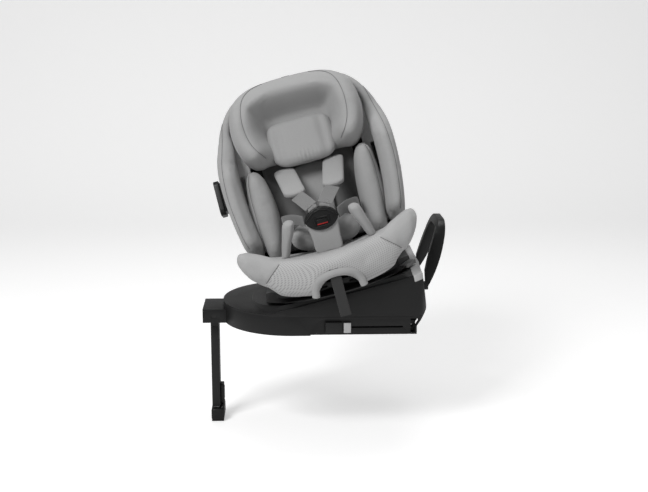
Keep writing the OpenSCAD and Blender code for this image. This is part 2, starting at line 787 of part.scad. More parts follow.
module buckle_button() color("#c01818") turn_frame()
    box([-13, buckle_at[1] - buckle_t / 2 - 1.5, 193], [13, buckle_at[1] - buckle_t / 2 + 2.5, 206]);

module buckle_tongues() color("silver") turn_frame()
    facing(buckle_at[1] - 1.5, buckle_at[1] + 1.5) difference() {
        for (s = [-1, 1]) translate([s * 15 - 11, buckle_at[2] + 12]) square([22, 24]);
        lens(0.2);
    }

// Flat band through points, w wide along a given direction
function unit(v) = v / norm(v);
function band_points(path, across, w, t) = [for (i = [0:len(path) - 1]) let (
        along = path[min(i + 1, len(path) - 1)] - path[max(i - 1, 0)],
        u = unit(cross(along, across)) * t / 2,
        v = unit(across) * w / 2)
    [path[i] - v - u, path[i] + v - u, path[i] + v + u, path[i] - v + u]];

module harness_webbing() color("#77777c") turn_frame() both_sides() {
    // shoulder webbing from below the pads to the tongues
    ring_solid(band_points([chest + [-1, -6, -4], [20, buckle_at[1], buckle_at[2] + 43]],
        [1, 0.15, 0.35], harness_w - 4, web_t));
    // lap webbing from the buckle's ends back to the seat
    ring_solid(band_points([[44, -102, 208], [66, -62, 211], [92, -22, 206], [98, 30, 190]],
        [0, 0, 1], 26, web_t));
}

// Section of a shoulder pad, a share t of the way from the shoulder to the chest
function shoulder_ring(t) = let (
        up = unit(cross(chest - shoulder, [1, 0, 0])),
        thin = t == 0 || t == 1 ? 0.6 : 1)
    [for (j = [0:15]) let (p = super_point(pad_half[0], pad_half[1] * thin, 4, j * 22.5))
        shoulder + (chest - shoulder) * t + [p[0], 0, 0] + up * p[1]];

module shoulder_pads() color("#c4c4c6") turn_frame() both_sides()
    ring_solid([for (i = [0:5]) shoulder_ring(i / 5)]);

// ---- Harness adjuster and recline lever, at the front of the seat ----

module adjuster_housing() color("#1c1c1e") turn_frame() difference() {
    box([-18, -231, 98], [18, -223.6, 122]);
    box([-strap_w / 2 - 2.5, -240, 106.8], [strap_w / 2 + 0.5, -220, 110.4]);
    box([-9.4, -240, 112.6], [9.4, -224.6, 120.4]);
}

module adjuster_button() color("#6a6a6e") turn_frame() box([-9, -232.5, 113], [9, -227.4, 120]);

module adjuster_strap() color("#5a5a5e") turn_frame() {
    box([-strap_w / 2 - 2, strap_front, strap_end], [strap_w / 2 - 2, strap_front + web_t, 110]);
    box([-strap_w / 2 - 2, -231.2, 107.4], [strap_w / 2 - 2, -224.5, 110]);
}

module recline_lever() color("#1c1c1e") turn_frame() {
    box([-26, -208, 65], [26, -196, 77]);
    both_sides() box([lever_arm_x[0], -196, lever_arm_z[0]], [lever_arm_x[1], -150, lever_arm_z[1]]);
}

// ---- Side-impact pads ----

// Pad that slides out of the shell's side; rest is how far out it stands
module sip_pad(rest) {
    out = half_w - 7 + rest;
    translate([out, sip_y, sip_z]) rotate([0, 90, 0]) linear_extrude(13) rounded_rect(sip_size, 15);
    box([out - 38, sip_y - sip_stem_half[0], sip_z - sip_stem_half[1]],
        [out, sip_y + sip_stem_half[0], sip_z + sip_stem_half[1]]);
}

module sip_pad_left() color("#2b2b2e") back_frame() sip_pad(sip_rest);
module sip_pad_right() color("#2b2b2e") back_frame() mirror([1, 0, 0]) sip_pad(sip_rest + sip_travel);

// ---- Headrest ----

module headrest_carrier() color("#3a3a3e") back_frame() {
    difference() {
        box([-rod_x - 14, rod_y - 7, 280], [rod_x + 14, rod_y + 7, 310]);
        both_sides() translate([rod_x, rod_y, 279]) cylinder(r = rod_r + run_gap, h = 40);
    }
    both_sides() box([post_x - 5, -4.2, 285], [post_x + 5, rod_y - 7, 305]);
    box([-120, -10, 262], [120, -4.2, 441]);
}

// Half the headrest's width, half its hollow's width, and the place of its front, at height z
function head_half(z) = z > 325 ? 174 * pow(1 - pow((z - 325) / 129, 2.6), 1 / 2.6)
    : 174 - 36 * pow((325 - z) / 97, 2.5);
function hollow_half(z) = z < 350 ? 92 : max(0.2, 92 * pow(max(0, 1 - pow((z - 350) / 92, 2.5)), 0.4));
function head_front(z) = -150 + 45 * pow(max(0, z - 330) / 120, 2);

// Outlines of the headrest seen from above: one side lobe, and the part behind the hollow
function lobe_ring(z) = let (
        w = head_half(z),
        h = min(hollow_half(z), w - 20),
        front = head_front(z),
        b = min(w - 6, 128),
        r = min(24, (w - h) / 2 - 2))
    concat([[h, -10.3, z]],
        [for (t = [180:-30:90]) [h + r + r * cos(t), front + r - r * sin(t), z]],
        [for (t = [90:-30:0]) [w - r + r * cos(t), front + r - r * sin(t), z]],
        [[w, -58, z], [b, -50, z], [b, -10.3, z]]);

function hollow_ring(z) = let (h = min(hollow_half(z), head_half(z) - 20) - 0.2)
    [[-h, -10.3, z], [-h, -52, z], [4 - h, -48, z], [h - 4, -48, z], [h, -52, z], [h, -10.3, z]];

module headrest_pad() color("#b0b0b2") back_frame() {
    both_sides() ring_solid([
        for (z = [head_z[0], 233, 244, 262, 290, 325, 355, 380, 400, 415, 428, 438, 446, head_z[1]])
            lobe_ring(z)]);
    ring_solid([for (z = [head_z[0], 244, 325, 355, 380, 400, 415, 428]) hollow_ring(z)]);
}

module headrest_pillow() color("#a6a6a8") back_frame()
    loft([[0, -72, 222, 50, 8, 3], [0, -72, 230, 66, 14, 3], [0, -72, 250, 78, 18.5, 3],
        [0, -72, 285, 84, 19.5, 3], [0, -72, 315, 80, 18, 3], [0, -72, 328, 74, 13, 3],
        [0, -72, 335, 64, 7, 3]]);

module headrest_lever() color("#1c1c1e") back_frame() {
    box([-11, -3.9, 340], [11, -0.6, 462]);
    box([-11, -16, 455], [11, -3.9, 467]);
}

base_tub();
base_cover();
rear_cap();
base_screws();
bearing_ring();
centre_post();
leg_bracket();
leg_pivot_pin();
rebound_bar();
leg_knuckle();
leg_outer_tube();
leg_latch_housing();
leg_latch_button();
leg_inner_tube();
leg_foot();
leg_foot_pad();
isofix_arm("left");  // isofix_arm_left
isofix_jaw("left");  // isofix_jaw_left
isofix_hook("left");  // isofix_hook_left
isofix_button("left");  // isofix_button_left
isofix_arm("right");  // isofix_arm_right
isofix_jaw("right");  // isofix_jaw_right
isofix_hook("right");  // isofix_hook_right
isofix_button("right");  // isofix_button_right
turn_disc();
cradle();
rotation_button();
seat_pan();
recline_runners();
back_shell();
side_foam();
guide_rods();
seat_cushion();
bolster_left();
bolster_right();
back_cover();
wing_left();
wing_right();
torso_pad_left();
torso_pad_right();
insert_back();
insert_seat();
hip_flaps();
crotch_pad();
crotch_strap();
harness_webbing();
buckle_tongues();
buckle_body();
adjuster_housing();
adjuster_strap();
recline_lever();
adjuster_button();
buckle_button();
sip_pad_left();
sip_pad_right();
headrest_carrier();
headrest_pad();
headrest_pillow();
shoulder_pads();
headrest_lever();
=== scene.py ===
import json

import bmesh
import bpy
import numpy as np
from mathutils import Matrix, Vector
from mathutils.bvhtree import BVHTree

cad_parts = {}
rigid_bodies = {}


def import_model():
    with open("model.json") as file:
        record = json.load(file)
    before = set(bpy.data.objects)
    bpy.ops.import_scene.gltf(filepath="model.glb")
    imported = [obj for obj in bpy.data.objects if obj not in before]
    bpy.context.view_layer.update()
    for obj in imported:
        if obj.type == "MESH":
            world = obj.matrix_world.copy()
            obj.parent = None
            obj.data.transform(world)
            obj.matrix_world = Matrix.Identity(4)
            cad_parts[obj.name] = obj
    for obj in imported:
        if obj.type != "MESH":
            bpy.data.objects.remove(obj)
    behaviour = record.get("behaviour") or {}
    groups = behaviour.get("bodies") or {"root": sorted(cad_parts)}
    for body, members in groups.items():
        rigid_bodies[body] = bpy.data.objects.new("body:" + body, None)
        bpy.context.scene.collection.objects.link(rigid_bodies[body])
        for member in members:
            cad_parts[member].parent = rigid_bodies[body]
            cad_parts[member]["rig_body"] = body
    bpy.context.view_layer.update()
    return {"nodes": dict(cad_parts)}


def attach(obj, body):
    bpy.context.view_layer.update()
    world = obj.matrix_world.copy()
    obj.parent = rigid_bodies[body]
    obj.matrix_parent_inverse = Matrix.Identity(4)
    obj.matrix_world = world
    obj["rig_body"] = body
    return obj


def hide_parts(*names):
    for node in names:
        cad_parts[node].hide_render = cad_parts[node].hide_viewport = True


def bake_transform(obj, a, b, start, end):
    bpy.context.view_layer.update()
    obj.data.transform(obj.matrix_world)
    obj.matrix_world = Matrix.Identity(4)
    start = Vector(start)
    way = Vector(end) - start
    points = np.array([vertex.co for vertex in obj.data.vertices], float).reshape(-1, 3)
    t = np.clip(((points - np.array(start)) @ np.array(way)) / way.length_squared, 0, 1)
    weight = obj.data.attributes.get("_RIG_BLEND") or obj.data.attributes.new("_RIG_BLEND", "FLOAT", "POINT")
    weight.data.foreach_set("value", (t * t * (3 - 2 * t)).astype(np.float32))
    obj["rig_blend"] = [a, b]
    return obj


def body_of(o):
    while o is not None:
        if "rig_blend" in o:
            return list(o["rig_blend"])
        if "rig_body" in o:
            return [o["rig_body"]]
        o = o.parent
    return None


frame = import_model()
nodes = frame["nodes"]


# ---- Base ----
# The base is two injection moulded shells, a tub and a cover, screwed together from below. They are
# black polypropylene with a fine spark-eroded grain. Simple pieces get a mould radius on their edges.

def shader(tree, kind, inputs=None, **settings):
    """Adds one shader node. An input that is a socket is linked, and any other value is set."""
    made = tree.nodes.new("ShaderNode" + kind)
    for name, value in settings.items():
        setattr(made, name, value)
    for name, value in (inputs or {}).items():
        if isinstance(value, bpy.types.NodeSocket):
            tree.links.new(value, made.inputs[name])
        else:
            made.inputs[name].default_value = value
    return made


def effect(name, inputs, outputs):
    """An empty shader group, with its input node's sockets and a function that sets its outputs."""
    tree = bpy.data.node_groups.new(name, "ShaderNodeTree")
    kinds = {"colour": "NodeSocketColor", "value": "NodeSocketFloat"}
    for label, kind in inputs.items():
        tree.interface.new_socket(label, in_out="INPUT", socket_type=kinds[kind])
    for label, kind in outputs.items():
        tree.interface.new_socket(label, in_out="OUTPUT", socket_type=kinds[kind])
    source = tree.nodes.new("NodeGroupInput").outputs
    target = tree.nodes.new("NodeGroupOutput").inputs

    def give(**results):
        for label, socket in results.items():
            tree.links.new(socket, target[label])

    return tree, source, give


def maths(tree, operation, first, second=0.5):
    return shader(tree, "Math", {0: first, 1: second}, operation=operation).outputs[0]


def speckle(tree, where, scale, detail=2.0):
    """Fractal noise of the given number of patches per metre."""
    return shader(tree, "TexNoise", {"Vector": where, "Scale": scale, "Detail": detail}).outputs["Fac"]


def ranged(tree, value, low, high):
    """A value from 0 to 1 spread between low and high."""
    return shader(tree, "MapRange", {"Value": value, "To Min": low, "To Max": high}).outputs["Result"]


def tinted(tree, colour, amount):
    """A colour made darker or paler by a factor that changes over the surface."""
    return shader(tree, "HueSaturation", {"Color": colour, "Value": amount}).outputs["Color"]


def moulding_effect():
    """Moulded plastic: fine grain, soft wide blotches of gloss, and faint rub marks."""
    tree, source, give = effect("moulding", {"Colour": "colour", "Gloss": "value", "Grain": "value"},
        {"Colour": "colour", "Roughness": "value", "Height": "value"})
    where = shader(tree, "TexCoord").outputs["Object"]
    blotch = speckle(tree, where, 9.0)
    rub = speckle(tree, where, 160.0, 4.0)
    grain = speckle(tree, where, source["Grain"], 3.0)
    shift = ranged(tree, maths(tree, "ADD", blotch, maths(tree, "MULTIPLY", rub, 0.6)), 0.86, 1.06)
    rough = maths(tree, "ADD", source["Gloss"], ranged(tree, blotch, -0.07, 0.07))
    rough = maths(tree, "ADD", rough, ranged(tree, rub, -0.05, 0.05))
    give(Colour=tinted(tree, source["Colour"], shift), Roughness=rough, Height=grain)
    return tree


MOULDING = moulding_effect()


def blank_material(name):
    made = bpy.data.materials.new(name)
    made.use_nodes = True
    tree = made.node_tree
    return made, tree, tree.nodes["Principled BSDF"]


def use_effect(tree, group, values):
    """Places a shader group in a material, with its values."""
    made = tree.nodes.new("ShaderNodeGroup")
    made.node_tree = group
    for label, value in values.items():
        made.inputs[label].default_value = value
    return made.outputs


def connect(tree, surface, results, strength, distance):
    """Feeds a group's results to the surface: colour, roughness, and height through a bump."""
    bump = shader(tree, "Bump", {"Height": results["Height"], "Strength": strength, "Distance": distance})
    tree.links.new(results["Colour"], surface.inputs["Base Color"])
    tree.links.new(results["Roughness"], surface.inputs["Roughness"])
    tree.links.new(bump.outputs["Normal"], surface.inputs["Normal"])


def grey(level, warmth=0.0):
    """A neutral colour, a little warmer or cooler."""
    return (level * (1 + warmth), level, level * (1 - warmth), 1)


def plastic(name, colour, gloss=0.42, grain=900.0, relief=0.25):
    made, tree, surface = blank_material(name)
    results = use_effect(tree, MOULDING, {"Colour": colour, "Gloss": gloss, "Grain": grain})
    connect(tree, surface, results, relief, 0.0004)
    surface.inputs["Specular IOR Level"].default_value = 0.35
    return made


BLACK = plastic("black moulding", grey(0.006, -0.02), 0.42)
SHELL = plastic("dark shell moulding", grey(0.012, -0.01), 0.46)
PALE = plastic("pale grey moulding", grey(0.46), 0.45, relief=0.12)
MID = plastic("grey moulding", grey(0.16), 0.45)


def paint(name, material):
    """A CAD piece keeps its shape and gets this finish."""
    piece = nodes[name]
    piece.data.materials.clear()
    piece.data.materials.append(material)
    return piece


def finish_mesh(mesh, sharp=35):
    """Smooth shading, apart from edges that turn by more than sharp degrees."""
    mesh.polygons.foreach_set("use_smooth", np.ones(len(mesh.polygons), bool))
    mesh.set_sharp_from_angle(angle=np.radians(sharp))
    mesh.update()


def baked(piece):
    """Applies a piece's modifiers to its mesh."""
    graph = bpy.context.evaluated_depsgraph_get()
    done = bpy.data.meshes.new_from_object(piece.evaluated_get(graph))
    piece.modifiers.clear()
    old = piece.data
    piece.data = done
    bpy.data.meshes.remove(old)
    return piece


def eased(name, material, edge):
    """A CAD piece's own shape: its copy is merged, its flat faces are joined, and the edges left are
    bevelled by up to edge millimetres. The bevel is held back over the whole piece where its closest
    edges would overlap, so a finely faceted piece, such as the cover or the cradle, stays sharp."""
    piece = bpy.data.objects.new(name + "_moulded", nodes[name].data.copy())
    bpy.context.scene.collection.objects.link(piece)
    weld = piece.modifiers.new("weld", "WELD")
    weld.merge_threshold = 1e-6
    flat = piece.modifiers.new("flat", "DECIMATE")
    flat.decimate_type = "DISSOLVE"
    flat.angle_limit = np.radians(1.0)
    bevel = piece.modifiers.new("bevel", "BEVEL")
    bevel.width = edge / 1000
    bevel.segments = 3
    bevel.angle_limit = np.radians(32)
    baked(piece)
    finish_mesh(piece.data)
    piece.data.materials.clear()
    piece.data.materials.append(material)
    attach(piece, body_of(nodes[name])[0])
    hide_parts(name)
    return piece


for name, edge in {"base_tub": 1.6, "base_cover": 2.2, "leg_bracket": 2.0, "rebound_bar": 5.0}.items():
    eased(name, BLACK, edge)
eased("rear_cap", PALE, 1.2)
STEEL = plastic("bare steel", grey(0.5), 0.3, relief=0.05)
STEEL.node_tree.nodes["Principled BSDF"].inputs["Metallic"].default_value = 1.0
for name in ("base_screws", "bearing_ring", "centre_post"):
    paint(name, STEEL)
BLACKENED = plastic("blackened steel", grey(0.012), 0.35, relief=0.05)
paint("leg_pivot_pin", BLACKENED)

# ---- Support leg ----
# Two box tubes that slide in one another, a latch with its button, and a foot with a rubber pad.

for name, edge in {"leg_knuckle": 2.0, "leg_latch_housing": 2.0, "leg_foot": 3.0}.items():
    eased(name, BLACK, edge)
eased("leg_outer_tube", SHELL, 1.5)
paint("leg_inner_tube", STEEL)
eased("leg_latch_button", MID, 1.0)
RUBBER = plastic("foot rubber", grey(0.015), 0.75)
paint("leg_foot_pad", RUBBER)

# ---- ISOFIX connectors ----
# A steel arm in the base with a dark slider, a plastic jaw round the hook, and a grey button.

for side in ("left", "right"):
    eased(f"isofix_arm_{side}", SHELL, 1.0)
    eased(f"isofix_jaw_{side}", SHELL, 1.5)
    eased(f"isofix_button_{side}", PALE, 1.0)
    paint(f"isofix_hook_{side}", STEEL)

# ---- Turntable ----
# The disc turns in the base, and the cradle on it spreads to a dark skirt under the seat.

eased("turn_disc", MID, 1.0)
eased("cradle", BLACK, 2.5)
eased("rotation_button", MID, 1.5)

# ---- Seat shells ----
# The pan slides on its runners in the cradle, and the back shell stands on the pan.

eased("seat_pan", BLACK, 2.5)
eased("back_shell", BLACK, 4.0)
for name in ("recline_runners", "guide_rods"):
    paint(name, STEEL)
FOAM = plastic("white foam", grey(0.7), 0.8, 300.0)
paint("side_foam", FOAM)
for name in ("sip_pad_left", "sip_pad_right"):
    eased(name, BLACK, 4.0)
for name in ("headrest_carrier", "headrest_lever", "recline_lever", "adjuster_housing"):
    eased(name, BLACK, 1.5)
eased("adjuster_button", MID, 1.0)

# ---- Frames ----

TURN_AT = (41.0, 0.0, 70.0)
TILT = np.radians(15)
BACK_AT = (0.0, 80.0, 85.0)
LEAN = np.radians(20)


def seat_place(points):
    """Row-frame metres of points in the seat's frame, in millimetres: across, back and up, turned
    by the turntable's tilt about the row's y axis."""
    across, back, up = np.moveaxis(np.asarray(points, float), -1, 0)
    return np.stack([TURN_AT[0] + across * np.cos(TILT) - up * np.sin(TILT), TURN_AT[1] + back,
        TURN_AT[2] + across * np.sin(TILT) + up * np.cos(TILT)], -1) / 1000


def back_place(points):
    """Row-frame metres of points in the back's frame, which leans away from the seat's."""
    across, deep, high = np.moveaxis(np.asarray(points, float), -1, 0)
    return seat_place(np.stack([BACK_AT[0] + across,
        BACK_AT[1] + deep * np.cos(LEAN) + high * np.sin(LEAN),
        BACK_AT[2] - deep * np.sin(LEAN) + high * np.cos(LEAN)], -1))


def in_seat(points):
    """Millimetres in the seat's frame of row-frame points in metres, the way back from seat_place."""
    x, y, z = (points * 1000 - TURN_AT).T
    return np.stack([x * np.cos(TILT) + z * np.sin(TILT), y, z * np.cos(TILT) - x * np.sin(TILT)], -1)


def score(piece, point, normal):
    """Cuts the piece's faces along a plane of the seat's frame, so that each side can be coloured."""
    at, ahead = seat_place([point, np.add(point, normal)])
    form = bmesh.new()
    form.from_mesh(piece.data)
    bmesh.ops.bisect_plane(form, geom=form.verts[:] + form.edges[:] + form.faces[:], dist=1e-6,
        plane_co=Vector(at), plane_no=Vector(ahead - at))
    form.to_mesh(piece.data)
    form.free()


def two_tone(piece, material, rule):
    """The faces whose middle, as (across, back, up) in the seat's frame, obeys rule get material."""
    piece.data.materials.append(material)
    middles = np.empty(len(piece.data.polygons) * 3)
    piece.data.polygons.foreach_get("center", middles)
    chosen = rule(*in_seat(middles.reshape(-1, 3)).T)
    piece.data.polygons.foreach_set("material_index", chosen.astype(np.int32))


# The top of the cover is pale behind the turntable, from PALE_ACROSS on and above PALE_UP.
PALE_ACROSS, PALE_UP = 172, 14
base_cover = bpy.data.objects["base_cover_moulded"]
score(base_cover, (PALE_ACROSS, 0, 0), (1, 0, 0))
score(base_cover, (0, 0, PALE_UP), (0, 0, 1))
two_tone(base_cover, PALE, lambda across, back, up: (across > PALE_ACROSS) & (up > PALE_UP))


def surface(name, grid, material, ring=True, ends=True):
    """Mesh of a grid of rows of points. The columns join round if ring, and flat ends close the
    first and last rows if ends. The map holds the share across and the metres along."""
    rows, columns = grid.shape[:2]
    across = np.arange(columns if ring else columns - 1)
    along = np.arange(rows - 1)[:, None] * columns
    after = (across + 1) % columns
    faces = np.stack([along + across, along + after, along + columns + after,
        along + columns + across], -1).reshape(-1, 4).tolist()
    if ends:
        faces += [list(range(columns))[::-1], list(range((rows - 1) * columns, rows * columns))]
    mesh = bpy.data.meshes.new(name)
    mesh.from_pydata(grid.reshape(-1, 3), [], faces)
    step = np.linalg.norm(np.diff(grid.mean(1), axis=0), axis=1)
    metres = np.concatenate([[0], np.cumsum(step)])
    chart = np.stack([np.broadcast_to(np.arange(columns) / columns, (rows, columns)),
        np.broadcast_to(metres[:, None], (rows, columns))], -1).reshape(-1, 2)
    corner = np.empty(len(mesh.loops), np.int32)
    mesh.loops.foreach_get("vertex_index", corner)
    mesh.uv_layers.new(name="cloth").data.foreach_set("uv", chart[corner].ravel().astype(np.float32))
    if ring and signed_volume(mesh) < 0:
        mesh.flip_normals()
    finish_mesh(mesh, 50)
    mesh.materials.append(material)
    piece = bpy.data.objects.new(name, mesh)
    bpy.context.scene.collection.objects.link(piece)
    return piece


def signed_volume(mesh):
    """Six times the volume that a closed mesh's faces enclose; it is negative inside out."""
    mesh.calc_loop_triangles()
    corners = np.empty(len(mesh.loop_triangles) * 3, np.int32)
    mesh.loop_triangles.foreach_get("vertices", corners)
    a, b, c = places(mesh)[corners.reshape(-1, 3)].transpose(1, 0, 2)
    return np.einsum("ij,ij->", a, np.cross(b, c))


def places(mesh):
    found = np.empty(len(mesh.vertices) * 3)
    mesh.vertices.foreach_get("co", found)
    return found.reshape(-1, 3)


def power(value, exponent):
    return np.sign(value) * np.abs(value) ** exponent


def oval(turn, half_x, half_y, square):
    """Superellipse: cos and sin to the power 2 / square; 2 is an ellipse, more is squarer."""
    return half_x * power(np.cos(turn), 2 / square), half_y * power(np.sin(turn), 2 / square)


def points_at(x, y, z):
    """Points of three coordinates that are spread over each other's rows and columns."""
    return np.stack(np.broadcast_arrays(x, y, z), -1)


def ramp(value, start, end):
    """Smooth step from 0 at start to 1 at end."""
    t = np.clip((np.asarray(value, float) - start) / (end - start), 0, 1)
    return t * t * (3 - 2 * t)


def dome(value, low, high, radius):
    """Quarter circle that closes a form over radius at both ends: 1 inside, 0 at the ends."""
    inside = np.minimum(value - low, high - value)
    return np.sqrt(np.clip(1 - np.clip(1 - inside / radius, 0, 1) ** 2, 0, 1))


def bunched(low, high, count):
    """Numbers from low to high, closer together at both ends."""
    return low + (high - low) * (1 - np.cos(np.pi * np.linspace(0, 1, count))) / 2


def knit_effect():
    """Fine knit: raised loops with flecks of shade, over slow changes from handling. The last input darkens a
    square grid of dots, painted shade in the mesh's openings, laid on as seen from the front and above."""
    inputs = {"Colour": "colour", "Loops": "value", "Contrast": "value", "Hole shade": "value"}
    tree, source, give = effect("knit", inputs, {"Colour": "colour", "Roughness": "value", "Height": "value"})
    where = shader(tree, "TexCoord").outputs["Object"]
    slow = speckle(tree, where, 14.0, 3.0)
    fuzz = speckle(tree, where, 1500.0)
    loops = shader(tree, "TexVoronoi", {"Vector": where, "Scale": source["Loops"], "Randomness": 0.35},
        feature="F1").outputs["Distance"]
    height = maths(tree, "SUBTRACT", 1.0, loops)
    height = maths(tree, "ADD", height, maths(tree, "MULTIPLY", fuzz, 0.35))
    fleck = maths(tree, "MULTIPLY", maths(tree, "SUBTRACT", fuzz, 0.5), source["Contrast"])
    shade = maths(tree, "ADD", ranged(tree, slow, 0.95, 1.05), fleck)
    laid_on = {"Vector": where, "Rotation": (0.87, 0.0, 0.78), "Scale": (1, 1, 1000)}
    facing = shader(tree, "Mapping", laid_on, vector_type="TEXTURE").outputs["Vector"]
    cells = shader(tree, "TexVoronoi", {"Vector": facing, "Scale": source["Loops"], "Randomness": 0.0},
        feature="F1").outputs["Distance"]
    # Painted shade: the middle of each cell, the mesh's opening, is darkened.
    painted_hole_shade = maths(tree, "MULTIPLY", maths(tree, "LESS_THAN", cells, 0.3), source["Hole shade"])
    shade = maths(tree, "SUBTRACT", shade, painted_hole_shade)
    give(Colour=tinted(tree, source["Colour"], shade), Roughness=ranged(tree, slow, 0.82, 0.94),
        Height=height)
    return tree


KNIT = knit_effect()


def knit(name, colour, loops=700.0, contrast=0.25, relief=0.35, hole_shade=0.0):
    made, tree, surface_node = blank_material(name)
    results = use_effect(tree, KNIT, {"Colour": colour, "Loops": loops, "Contrast": contrast, "Hole shade": hole_shade})
    connect(tree, surface_node, results, relief, 0.0005)
    surface_node.inputs["Sheen Weight"].default_value = 0.25
    surface_node.inputs["Sheen Roughness"].default_value = 0.4
    surface_node.inputs["Specular IOR Level"].default_value = 0.25
    return made


CLOTH = knit("grey knit", grey(0.35), contrast=0.4, relief=0.45)
CLOTH_PALE = knit("pale knit", grey(0.39), contrast=0.35, relief=0.4)
# Its dots are painted shade in the mesh's openings.
CLOTH_MESH = knit("dotted mesh knit", grey(0.44), loops=240.0, contrast=0.3, relief=0.5, hole_shade=0.3)
# A darker copy of the grey knit: painted shade for the cloth behind the pads and straps.
CLOTH_SHADED = knit("shaded grey knit", grey(0.17))
THREAD = knit("seam thread", grey(0.12), 1500.0)
WEB = knit("grey webbing", grey(0.20), 1100.0, 0.35)
WEB_DARK = knit("dark webbing", grey(0.04), 1100.0, 0.35)


def smoothed(piece, rounds):
    """Relaxes a mesh: each round moves every point half way to the middle of its neighbours."""
    relax = piece.modifiers.new("relax", "SMOOTH")
    relax.factor = 0.5
    relax.iterations = rounds
    return baked(piece)


def plump(piece, reach, voxel=5.0, pressure=4.0, rounds=5):
    """Blows a pad up as cloth: an even mesh of voxel millimetres is held by cloth and pressed from
    inside for 20 frames, and no point may move further than reach millimetres."""
    remesh = piece.modifiers.new("even", "REMESH")
    remesh.mode = "VOXEL"
    remesh.voxel_size = voxel / 1000
    material = piece.data.materials[0]
    baked(piece)
    smoothed(piece, 3)
    start = places(piece.data)
    cloth = piece.modifiers.new("cloth", "CLOTH")
    cloth.settings.quality = 4
    cloth.settings.use_pressure = True
    cloth.settings.uniform_pressure_force = pressure
    cloth.settings.effector_weights.gravity = 0
    cloth.settings.shrink_min = -0.03
    scene = bpy.context.scene
    for step in range(1, 21):
        scene.frame_set(step)
    graph = bpy.context.evaluated_depsgraph_get()
    shift = places(piece.evaluated_get(graph).data) - start
    length = np.linalg.norm(shift, axis=1, keepdims=True)
    shift *= np.minimum(1, reach / 1000 / np.maximum(length, 1e-9))
    piece.modifiers.clear()
    scene.frame_set(1)
    piece.data.vertices.foreach_set("co", (start + shift).ravel())
    smoothed(piece, rounds)
    finer = piece.modifiers.new("finer", "SUBSURF")
    finer.levels = finer.render_levels = 1
    baked(piece)
    finish_mesh(piece.data, 80)
    piece.data.materials.clear()
    piece.data.materials.append(material)
    return piece


def spline(points, count, closed=False):
    """Catmull-Rom curve through points, as count points evenly spread in its parameter."""
    points = np.asarray(points, float)
    if closed:
        points = np.concatenate([points[-1:], points, points[:2]])
    else:
        points = np.concatenate([2 * points[:1] - points[1:2], points, 2 * points[-1:] - points[-2:-1]])
    spans = len(points) - 3
    at = np.linspace(0, spans, count, endpoint=not closed)
    index = np.minimum(at.astype(int), spans - 1)
    t = (at - index)[:, None]
    a, b, c, d = (points[index + k] for k in range(4))
    return 0.5 * (2 * b + (c - a) * t + (2 * a - 5 * b + 4 * c - d) * t ** 2
        + (3 * b - a - 3 * c + d) * t ** 3)


OFF_AXIS = (0.31, 0.87, 0.39)  # a direction that no tube runs along


def tube(name, path, radius, material, sides=8):
    """Round tube of a radius in millimetres along row-frame points, flat at its ends."""
    along = np.gradient(path, axis=0)
    along /= np.linalg.norm(along, axis=1, keepdims=True)
    side = np.cross(along, OFF_AXIS)
    side /= np.linalg.norm(side, axis=1, keepdims=True)
    up = np.cross(along, side)
    turn = np.linspace(0, 2 * np.pi, sides, endpoint=False)[None, :, None]
    grid = path[:, None] + radius / 1000 * (np.cos(turn) * side[:, None] + np.sin(turn) * up[:, None])
    return surface(name, grid, material)


def sew(piece, path, place, body, draw=1.4, spread=4.0, thread=0.55):
    """A seam along a path of (across, up) points in the piece's frame. Each point is cast on to the
    pad from its front. The cloth near it is drawn in by a bell curve, and a thread lies in it."""
    line = spline(path, 90)
    far = place(np.stack([line[:, 0], np.full(len(line), -400.0), line[:, 1]], -1))
    aim = place([0, 1.0, 0]) - place([0, 0, 0])
    aim /= np.linalg.norm(aim)
    tree = BVHTree.FromObject(piece, bpy.context.evaluated_depsgraph_get())
    hits = [tree.ray_cast(Vector(p), Vector(aim))[0] for p in far]
    hits = np.array([h for h in hits if h is not None])
    points = places(piece.data)
    normals = np.empty(len(points) * 3)
    piece.data.vertices.foreach_get("normal", normals)
    near = np.full(len(points), 1.0)
    for h in hits:
        near = np.minimum(near, np.linalg.norm(points - h, axis=1))
    pull = draw / 1000 * np.exp(-(near * 1000 / spread) ** 2)
    points -= normals.reshape(-1, 3) * pull[:, None]
    piece.data.vertices.foreach_set("co", points.ravel())
    piece.data.update()
    laid = hits + aim * (draw - thread) * 0.8 / 1000
    seam = tube(piece.name + "_seam", laid, thread, THREAD, 6)
    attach(seam, body)
    return seam


def pad(piece, body, stands_for):
    """Attaches a padded piece to the body it rides on, and hides the CAD solids that it stands for."""
    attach(piece, body)
    if stands_for:
        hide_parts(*stands_for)
    return piece


# ---- Side wings ----
# Each wing is a tall foam panel in grey knit, pulled over the side of the back shell.

HALF_WIDTH = 220
WIDEST_AT = 215


def wing_half(z):
    """Half the width across the wings: narrower at the top by a cube, at the bottom by a square."""
    above = np.maximum(z - WIDEST_AT, 0) / 190
    below = np.maximum(WIDEST_AT - z, 0) / 175
    return np.where(z > WIDEST_AT, HALF_WIDTH - 53 * above ** 3, HALF_WIDTH - 20 * below ** 2)


def wing_grid():
    """Level sections of a wing from bottom to top: ovals that thin towards the headrest."""
    z = bunched(20, 430, 110)
    turn = np.linspace(0, 2 * np.pi, 88, endpoint=False)[None, :]
    thick = 42 - 14 * ramp(z, 270, 380)
    front = -48 - 102 * ramp(345 - z, 0, 130) + 34 * (np.maximum(60 - z, 0) / 42) ** 2
    close = dome(z, 19.5, 430.5, 30)[:, None]
    half_x = (thick / 2)[:, None] * (0.25 + 0.75 * close)
    half_y = ((-12 - front) / 2)[:, None] * (0.6 + 0.4 * close)
    x, y = oval(turn, half_x, half_y, 2.5)
    middle = ((front - 12) / 2)[:, None]
    return points_at(x + (wing_half(z) - thick / 2)[:, None], y + middle, z[:, None])


